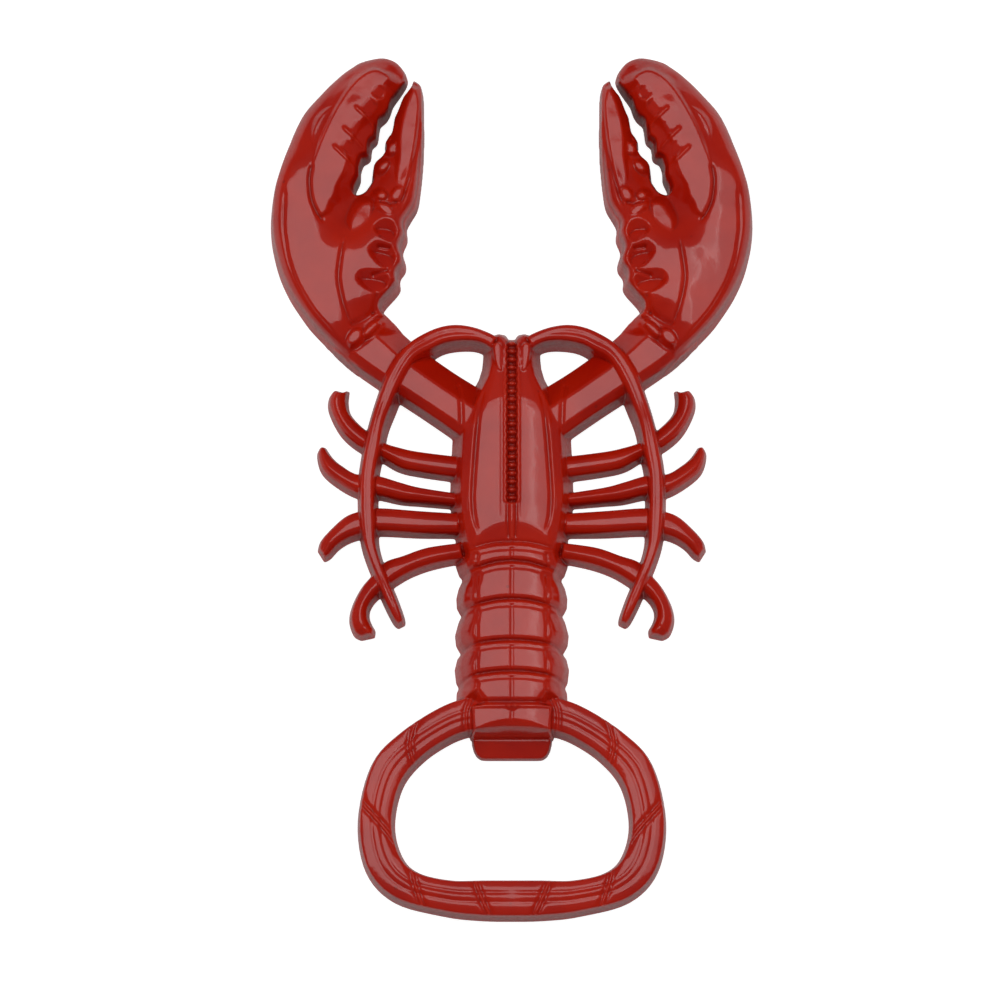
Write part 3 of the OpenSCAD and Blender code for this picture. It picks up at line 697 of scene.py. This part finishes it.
def lip(relief):
    """The lip that hooks under a cap: a low tongue behind the boss, sloping down to its edge."""
    def top(x, y):
        return LIP_TOP - LIP_SLOPE * np.maximum(LIP_BEND - y, 0)

    relief.join_outline("cap_lip", mirrored(LIP_OUTLINE), top, 0.5, 0.3)


def sculpt():
    relief = Relief()
    for add_part in (spine, spine_details, lip, arm, legs, antenna, ring, claw, beads):
        add_part(relief)
    return relief


# ---- From the relief to closed meshes
# How far the foot of every wall is rounded where it meets the flat back.
FOOT_ROUND = 0.35


class Surface:
    """The skin of the whole casting as a field that is 0 on it and positive inside, in drawn millimetres."""

    def __init__(self, relief):
        half = relief.height[:, : relief.middle + 1]
        self.height = np.hstack([half, half[:, -2::-1]])
        self.soften()
        self.origin = np.array([-HALF_WIDTH, -HALF_LENGTH])
        self.rows, self.cols = self.height.shape
        slope_y, slope_x = np.gradient(self.height, STEP)
        self.scale = 1 / np.sqrt(1 + slope_x**2 + slope_y**2)

    def soften(self):
        """Rounds every edge a little, as a coat of enamel does."""
        for axis in (0, 0, 0, 1, 1, 1):
            height = self.height
            self.height = (np.roll(height, 1, axis) + 2 * height + np.roll(height, -1, axis)) / 4

    def sample(self, grid, x, y):
        """Bilinear reading of a grid at places."""
        u = np.clip((x - self.origin[0]) / STEP, 0, self.cols - 1.001)
        v = np.clip((y - self.origin[1]) / STEP, 0, self.rows - 1.001)
        i, j = u.astype(int), v.astype(int)
        u, v = u - i, v - j
        low = grid[j, i] * (1 - u) + grid[j, i + 1] * u
        high = grid[j + 1, i] * (1 - u) + grid[j + 1, i + 1] * u
        return low * (1 - v) + high * v

    def field(self, points):
        """The field at points: roughly the distance to the surface."""
        x, y, z = points.T
        upper = (self.sample(self.height, x, y) - z) * self.sample(self.scale, x, y)
        return smooth_min(upper, z, FOOT_ROUND)

    def gradient(self, points):
        """The field's slope along x, y and z."""
        reach = STEP * 0.5
        rises = [self.field(points + step) - self.field(points - step) for step in reach * np.eye(3)]
        return np.array(rises).T / (2 * reach)

    def hollowness(self, points, reach=0.4):
        """How hollow the surface is at each point: 0 where flat, positive in creases, negative on edges."""
        around = np.zeros(len(points))
        for step in reach * np.vstack([np.eye(3), -np.eye(3)]):
            around += self.field(points + step)
        return around / (6 * reach)

    def skin(self):
        """A fine mesh of quads on the surface: points and faces."""
        height = self.height[::VOXEL_STEPS, ::VOXEL_STEPS].T
        scale = self.scale[::VOXEL_STEPS, ::VOXEL_STEPS].T
        levels = np.arange(UNDER, FULL_HEIGHT, VOXEL)
        field = smooth_min((height[:, :, None] - levels) * scale[:, :, None], levels, FOOT_ROUND)
        far = 3 * VOXEL
        grid = openvdb.FloatGrid(far)
        grid.copyFromArray(np.ascontiguousarray(np.clip(-field, -far, far), np.float32))
        points, faces = grid.convertToQuads(0.0)
        points = points[:, :3] * VOXEL + np.array([*self.origin, levels[0]])
        return self.settle(points), faces.astype(int)

    def settle(self, points):
        """Moves points along the field's slope onto the surface."""
        for _ in range(3):
            slope = self.gradient(points)
            push = -self.field(points) / np.maximum((slope**2).sum(1), 0.05)
            points = points + slope * np.clip(push, -VOXEL, VOXEL)[:, None]
        return points


# A point this close to the plane below lies on it.
ON_PLANE = 0.03


class Skin:
    """The surface mesh without its flat back, with a section's number on every face."""

    def __init__(self, surface, relief):
        self.surface = surface
        points, faces = surface.skin()
        points[points[:, 2] < ON_PLANE, 2] = 0
        faces = faces[~(points[faces, 2] == 0).all(1)]
        used, faces = np.unique(faces, return_inverse=True)
        self.points = points[used]
        self.faces = faces.reshape(-1, 4)
        self.names = []
        self.label = self.name_faces(relief)
        self.find_edges()
        self.smooth_rim()
        for _ in range(3):
            self.settle_labels()

    def name_faces(self, relief):
        """The number of the section that owns the place of each face's middle, with left and right apart."""
        middle = self.points[self.faces].mean(1)
        cols = np.rint((-np.abs(middle[:, 0]) + HALF_WIDTH) / STEP).astype(int)
        rows = np.rint((middle[:, 1] + HALF_LENGTH) / STEP).astype(int)
        owner = relief.owner[rows, cols]
        label = np.zeros(len(middle), int)
        for number, name in enumerate(relief.names):
            for side, there in (("_left", middle[:, 0] < 0), ("_right", middle[:, 0] >= 0)):
                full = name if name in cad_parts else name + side
                if full not in self.names:
                    self.names.append(full)
                label[(owner == number) & there] = self.names.index(full)
        return label

    def find_edges(self):
        """Every edge between two faces, as its two points and, for each face, the direction it runs in."""
        count = len(self.faces)
        ends = np.concatenate([np.stack([self.faces[:, k], self.faces[:, (k + 1) % 4]], 1) for k in range(4)])
        face = np.tile(np.arange(count), 4)
        key = ends.min(1) * len(self.points) + ends.max(1)
        order = np.argsort(key, kind="stable")
        ends, face, key = ends[order], face[order], key[order]
        paired = np.zeros(len(key), bool)
        paired[:-1] = key[:-1] == key[1:]
        first = np.flatnonzero(paired)
        self.inner = np.column_stack([ends[first], face[first], face[first + 1]])
        single = ~paired
        single[1:] &= key[1:] != key[:-1]
        self.rim = np.column_stack([ends[single], face[single]])

    def smooth_rim(self, rounds=8):
        """Evens out the stair steps of the outline on the back plane."""
        start, end = self.rim[:, 0], self.rim[:, 1]
        for _ in range(rounds):
            total = np.zeros(self.points.shape)
            np.add.at(total, start, self.points[end])
            np.add.at(total, end, self.points[start])
            self.points[start] = (self.points[start] + total[start] / 2) / 2

    def settle_labels(self):
        """A face that mostly touches another section's faces joins that section, so that no stray ones stay.

        Inside the surface that takes three of its four neighbours. On the rim any lead is enough."""
        a, b = self.inner[:, 2], self.inner[:, 3]
        votes = np.zeros((len(self.faces), len(self.names)), np.int8)
        np.add.at(votes, (a, self.label[b]), 1)
        np.add.at(votes, (b, self.label[a]), 1)
        leader = votes.argmax(1)
        own = votes[np.arange(len(leader)), self.label]
        enough = np.full(len(leader), 2)
        enough[self.rim[:, 2]] = 0
        self.label = np.where(votes.max(1) > np.maximum(own, enough), leader, self.label)

    def chains(self):
        """The lines where two sections meet: {(a, b): [points in the direction of a's faces]}."""
        found = {}
        label_a, label_b = self.label[self.inner[:, 2]], self.label[self.inner[:, 3]]
        links = {}
        parted = label_a != label_b
        for (p, q, _, _), a, b in zip(self.inner[parted], label_a[parted], label_b[parted]):
            pair, step = ((a, b), (p, q)) if a < b else ((b, a), (q, p))
            links.setdefault(pair, []).append(step)
        for pair, steps in links.items():
            after = {}
            for p, q in steps:
                after.setdefault(p, []).append(q)
            ends = {q for _, q in steps}
            starts = [p for p in after if p not in ends]
            lines = []
            while after:
                point = starts.pop() if starts else next(iter(after))
                line = [point]
                while point in after:
                    options = after[point]
                    if len(options) == 1:
                        del after[point]
                    point = options.pop()
                    line.append(point)
                    if point == line[0]:
                        break
                lines.append(line)
            found[pair] = lines
        return found

    def smooth_chains(self, chains, rounds=8):
        """Evens out the stair steps of the lines between sections, keeping them on the surface."""
        moved = set()
        for _ in range(rounds):
            for lines in chains.values():
                for line in lines:
                    if len(line) > 4:
                        p = self.points[line]
                        self.points[line[1:-1]] = (p[:-2] + 2 * p[1:-1] + p[2:]) / 4
                        moved.update(line[1:-1])
        moved = np.array(sorted(moved))
        self.points[moved] = self.surface.settle(self.points[moved])
        self.points[moved, 2] = np.maximum(self.points[moved, 2], ON_PLANE)


def filled(flat, edges):
    """Triangles that fill closed loops of flat points, counter-clockwise.

    Where two lines cross by a hair, a face has a corner that is none of the points. It is left out."""
    _, _, faces, origin, _, _ = delaunay_2d_cdt([Vector(p) for p in flat], edges, [], 1, 1e-7)
    triangles = []
    for face in faces:
        if all(origin[v] for v in face):
            a, b, c = (origin[v][0] for v in face)
            (ax, ay), (bx, by), (cx, cy) = flat[a], flat[b], flat[c]
            turn = (bx - ax) * (cy - ay) - (by - ay) * (cx - ax)
            triangles.append((a, b, c) if turn > 0 else (a, c, b))
    return triangles


class Parting:
    """Closes each section of the skin: walls where two sections meet, and the flat back."""

    def __init__(self, skin):
        self.skin = skin
        self.feet = {}
        self.extra = []
        self.walls = [[] for _ in skin.names]
        self.back = [[] for _ in skin.names]
        for p, q, face in skin.rim:
            self.back[skin.label[face]].append((q, p))
        chains = skin.chains()
        skin.smooth_chains(chains)
        for (a, b), lines in chains.items():
            for line in lines:
                self.wall(a, b, line)
        self.points = np.vstack([skin.points, np.array(self.extra).reshape(-1, 3)])

    def foot(self, point):
        """The point of the back plane straight below an end of a line."""
        place = self.skin.points[point]
        if place[2] == 0:
            return point
        if point not in self.feet:
            self.feet[point] = len(self.skin.points) + len(self.extra)
            self.extra.append((place[0], place[1], 0.0))
        return self.feet[point]

    def wall(self, a, b, line):
        """Fills the cut below a line between sections a and b, once for each of them."""
        places = self.skin.points[line]
        if line[0] == line[-1]:
            loop = line[:-1]
            flat = [(p[0], p[1]) for p in places[:-1]]
        else:
            start, end = self.foot(line[0]), self.foot(line[-1])
            steps = np.linalg.norm(np.diff(places[:, :2], axis=0), axis=1) + 1e-4
            run = np.concatenate([[0], np.cumsum(steps)])
            loop, flat = list(line), [(r, z) for r, z in zip(run, places[:, 2])]
            if end != line[-1]:
                loop.append(end)
                flat.append((run[-1], 0.0))
            if start != line[0]:
                loop.append(start)
                flat.append((run[0], 0.0))
            self.back[a].append((end, start))
            self.back[b].append((start, end))
        if len(loop) < 3:
            return
        edges = [(k, (k + 1) % len(loop)) for k in range(len(loop))]
        ahead = sum(p[0] * q[1] - q[0] * p[1] for p, q in zip(flat, flat[1:] + flat[:1])) > 0
        for i, j, k in filled(flat, edges):
            triangle = (loop[i], loop[j], loop[k])
            self.walls[b if ahead else a].append(triangle)
            self.walls[a if ahead else b].append(triangle[::-1])

    def section(self, number):
        """All faces of one closed section: quads of the skin, triangles of its walls and of its back."""
        quads = self.skin.faces[self.skin.label == number]
        ids = sorted({p for edge in self.back[number] for p in edge})
        place = {p: k for k, p in enumerate(ids)}
        flat = [tuple(self.points[p, :2]) for p in ids]
        edges = [(place[p], place[q]) for p, q in self.back[number]]
        back = [(ids[i], ids[k], ids[j]) for i, j, k in filled(flat, edges)] if edges else []
        return quads, self.walls[number], back


def without_folds(triangles):
    """Leaves out triangles that lie back to back with one another."""
    _, kind, count = np.unique(np.sort(triangles, axis=1), axis=0, return_inverse=True, return_counts=True)
    return triangles[count[kind.ravel()] == 1]


def place_object(name, data, location):
    made = bpy.data.objects.new(name, data)
    made.location = location
    bpy.context.scene.collection.objects.link(made)
    return made


def make_piece(name, parting, number, normals, hollows, material):
    """One section as a Blender object, shaded with the whole casting's own normals so that no seam shows."""
    quads, walls, back = parting.section(number)
    flat_faces = without_folds(np.array(walls + back, int).reshape(-1, 3))
    corners = np.concatenate([quads.ravel(), flat_faces.ravel()])
    used, corners = np.unique(corners, return_inverse=True)
    sizes = np.concatenate([np.full(len(quads), 4), np.full(len(flat_faces), 3)])
    mesh = bpy.data.meshes.new(name)
    mesh.vertices.add(len(used))
    mesh.vertices.foreach_set("co", (parting.points[used] * METRES).ravel())
    mesh.loops.add(len(corners))
    mesh.loops.foreach_set("vertex_index", corners.astype(np.int32))
    mesh.polygons.add(len(sizes))
    mesh.polygons.foreach_set("loop_start", np.concatenate([[0], np.cumsum(sizes)[:-1]]).astype(np.int32))
    mesh.polygons.foreach_set("use_smooth", np.ones(len(sizes), bool))
    mesh.update(calc_edges=True)
    mesh.validate()
    a, b, c = (parting.points[flat_faces[:, k]] for k in range(3))
    flat_normals = np.cross(b - a, c - a)
    flat_normals /= np.maximum(np.linalg.norm(flat_normals, axis=1, keepdims=True), 1e-12)
    corner_normals = np.vstack([normals[quads.ravel()], np.repeat(flat_normals, 3, axis=0)])
    mesh.normals_split_custom_set(corner_normals.tolist())
    mesh.attributes.new("hollow", "FLOAT", "POINT").data.foreach_set("value", hollows[used])
    mesh.materials.append(material)
    piece = place_object(name, mesh, (0, 0, 0))
    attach(piece, "root")
    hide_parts(name)


# ---- Camera, ground and light
# The camera stands over the casting, tilted this much from straight above towards the tail. At its target it
# sees this width.
VIEW_TILT = math.radians(10)
VIEW_DISTANCE = 0.80
VIEW_WIDTH = 0.1686685
VIEW_TARGET = Vector((-0.0019, -0.00306, 0.0))


def make_camera():
    data = bpy.data.cameras.new("camera")
    data.sensor_width = 36
    data.lens = data.sensor_width * VIEW_DISTANCE / VIEW_WIDTH
    away = VIEW_DISTANCE * Vector((0, -math.sin(VIEW_TILT), math.cos(VIEW_TILT)))
    camera = place_object("camera", data, VIEW_TARGET + away)
    camera.rotation_euler = (VIEW_TILT, 0, 0)
    bpy.context.scene.camera = camera


def make_sheet(name, depth, grey, glow, size=1.5):
    """A large matt sheet just under the casting, which glows by itself."""
    mesh = bpy.data.meshes.new(name)
    corners = [(-size, -size, 0), (size, -size, 0), (size, size, 0), (-size, size, 0)]
    mesh.from_pydata(corners, [], [(0, 1, 2, 3)])
    paper = bpy.data.materials.new(name + "_paper")
    paper.use_nodes = True
    inputs = paper.node_tree.nodes["Principled BSDF"].inputs
    inputs["Base Color"].default_value = (grey, grey, grey, 1)
    inputs["Roughness"].default_value = 0.9
    inputs["Specular IOR Level"].default_value = 0.0
    inputs["Emission Color"].default_value = (1, 1, 1, 1)
    inputs["Emission Strength"].default_value = glow
    mesh.materials.append(paper)
    return place_object(name, mesh, (0, 0, -depth))


def make_ground():
    """The white floor that the camera sees, and the bench that the enamel mirrors with the shadow on it."""
    floor = make_sheet("floor", 0.00005, 0.4, 0.92)
    floor.visible_diffuse = floor.visible_glossy = floor.visible_shadow = False
    bench = make_sheet("bench", 0.0002, 0.8, 0.04)
    bench.visible_camera = False


WORLD_GLOW = 0.08
# Overhead panels, in metres: (name, left x, right x, radiance).
PANEL_HEIGHT = 1.2
PANEL_FRONT, PANEL_REAR = -0.16, 0.47
PANELS = [
    ("main_softbox", -0.60, 0.135, 1.85),
    ("edge_strip", 0.137, 0.160, 4.5),
    ("side_softbox", 0.162, 0.50, 1.2),
]
# A larger soft lamp above them that no mirror image shows.
FILL_PLACE, FILL_SIZE, FILL_RADIANCE = (0, 0.55, PANEL_HEIGHT + 0.1), 1.6, 0.42
# Low lamps that light the walls: (name, place, radiance).
LOW_FILL_SIZE = 0.6
LOW_FILLS = [
    ("left_fill", (-0.9, 0.2, 0.35), 1.6), ("right_fill", (0.9, 0.2, 0.35), 1.6),
    ("front_fill", (0.0, -0.9, 0.30), 0.6),
]


def make_lamp(name, place, width, depth, radiance):
    """A flat lamp that shines straight down."""
    data = bpy.data.lights.new(name, "AREA")
    data.shape = "RECTANGLE"
    data.size, data.size_y = width, depth
    data.energy = radiance * math.pi * data.size * data.size_y
    return place_object(name, data, place)


def make_lights():
    world = bpy.data.worlds.new("studio")
    world.use_nodes = True
    background = world.node_tree.nodes["Background"].inputs
    background["Color"].default_value = (1, 1, 1, 1)
    background["Strength"].default_value = WORLD_GLOW
    bpy.context.scene.world = world
    for name, left, right, radiance in PANELS:
        place = (left + right) / 2, (PANEL_FRONT + PANEL_REAR) / 2, PANEL_HEIGHT
        make_lamp(name, place, right - left, PANEL_REAR - PANEL_FRONT, radiance)
    make_lamp("soft_fill", FILL_PLACE, FILL_SIZE, FILL_SIZE, FILL_RADIANCE).visible_glossy = False
    for name, place, radiance in LOW_FILLS:
        lamp = make_lamp(name, place, LOW_FILL_SIZE, LOW_FILL_SIZE, radiance)
        lamp.rotation_euler = lamp.location.to_track_quat("Z", "Y").to_euler()
        lamp.visible_glossy = False


def node(material, kind, settings, **sources):
    """A shader node with its settings and the values of its inputs, and links into it from other nodes."""
    made = material.node_tree.nodes.new(kind)
    for key, value in settings.items():
        if hasattr(made, key):
            setattr(made, key, value)
        else:
            made.inputs[key].default_value = value
    for key, output in sources.items():
        material.node_tree.links.new(output, made.inputs[key])
    return made


def mix(material, factor, first, second):
    """A colour between two, each a colour or another node's output."""
    made = material.node_tree.nodes.new("ShaderNodeMix")
    made.data_type = "RGBA"
    material.node_tree.links.new(factor, made.inputs["Factor"])
    for socket, source in ((made.inputs[6], first), (made.inputs[7], second)):
        if isinstance(source, tuple):
            socket.default_value = (*source, 1)
        else:
            material.node_tree.links.new(source, socket)
    return made.outputs[2]


def span(material, value, low, high, at_low, at_high):
    """A value between two limits turned into one between two others."""
    limits = {"From Min": low, "From Max": high, "To Min": at_low, "To Max": at_high}
    return node(material, "ShaderNodeMapRange", limits, Value=value).outputs["Result"]


# The heights of the enamel's waves and grain in metres, then its colours: two that drift into each other on
# the even parts, a darker red painted into creases as shade, and those over edges and in specks.
WAVE_HEIGHT, GRAIN_HEIGHT = 0.00006, 0.000006
DEEP_RED = (0.55, 0.009, 0.001)
FULL_RED = (0.66, 0.015, 0.001)
CREASE_SHADE_RED = (0.22, 0.005, 0.003)
THIN_RED = (0.78, 0.060, 0.030)
SPECK_RED = (0.30, 0.008, 0.005)


def enamel():
    """Glossy red enamel: darker in creases as painted shade, thin over edges, wavy like a sprayed coat."""
    material = bpy.data.materials.new("red_enamel")
    material.use_nodes = True
    links = material.node_tree.links
    surface = material.node_tree.nodes["Principled BSDF"]
    place = node(material, "ShaderNodeTexCoord", {}).outputs["Object"]
    hollow = node(material, "ShaderNodeAttribute", {"attribute_name": "hollow"}).outputs["Fac"]

    cloud = node(material, "ShaderNodeTexNoise", {"Scale": 110, "Detail": 3}, Vector=place).outputs["Fac"]
    colour = mix(material, span(material, cloud, 0.35, 0.65, 0, 1), DEEP_RED, FULL_RED)
    # Painted shade: the base colour turns darker red where the surface is hollow, in creases and between the
    # beads.
    colour = mix(material, span(material, hollow, 0.05, 0.25, 0, 0.5), colour, CREASE_SHADE_RED)
    colour = mix(material, span(material, hollow, -0.06, -0.25, 0, 0.4), colour, THIN_RED)
    cells = node(material, "ShaderNodeTexVoronoi", {"Scale": 420}, Vector=place)
    dot = span(material, cells.outputs["Distance"], 0.10, 0.16, 1, 0)
    rare = span(material, cells.outputs["Color"], 0.86, 0.88, 0, 0.5)
    speck = node(material, "ShaderNodeMath", {"operation": "MULTIPLY"})
    links.new(dot, speck.inputs[0])
    links.new(rare, speck.inputs[1])
    colour = mix(material, speck.outputs["Value"], colour, SPECK_RED)
    links.new(colour, surface.inputs["Base Color"])

    grain = node(material, "ShaderNodeTexNoise", {"Scale": 1500, "Detail": 2}, Vector=place).outputs["Fac"]
    links.new(span(material, grain, 0.3, 0.7, 0.38, 0.52), surface.inputs["Roughness"])
    waves = node(material, "ShaderNodeTexNoise", {"Scale": 230, "Detail": 1}, Vector=place).outputs["Fac"]
    wavy = node(material, "ShaderNodeBump", {"Strength": 1.0, "Distance": WAVE_HEIGHT}, Height=waves)
    fine = {"Strength": 1.0, "Distance": GRAIN_HEIGHT}
    peel = node(material, "ShaderNodeBump", fine, Height=grain, Normal=wavy.outputs["Normal"])
    for socket in ("Normal", "Coat Normal"):
        links.new(peel.outputs["Normal"], surface.inputs[socket])

    surface.inputs["Specular IOR Level"].default_value = 0.15
    surface.inputs["Coat Roughness"].default_value = 0.09
    facing = node(material, "ShaderNodeLayerWeight", {"Blend": 0.5}).outputs["Facing"]
    links.new(span(material, facing, 0.5, 0.85, 1.0, 0.6), surface.inputs["Coat Weight"])
    return material


make_camera()
make_ground()
make_lights()
relief = sculpt()
surface = Surface(relief)
skin = Skin(surface, relief)
parting = Parting(skin)
outward = -surface.gradient(skin.points)
outward /= np.linalg.norm(outward, axis=1, keepdims=True)
hollows = np.zeros(len(parting.points))
hollows[:len(skin.points)] = surface.hollowness(skin.points)
coat = enamel()
for number, name in enumerate(skin.names):
    make_piece(name, parting, number, outward, hollows, coat)

bpy.context.scene.view_settings.view_transform = "Standard"
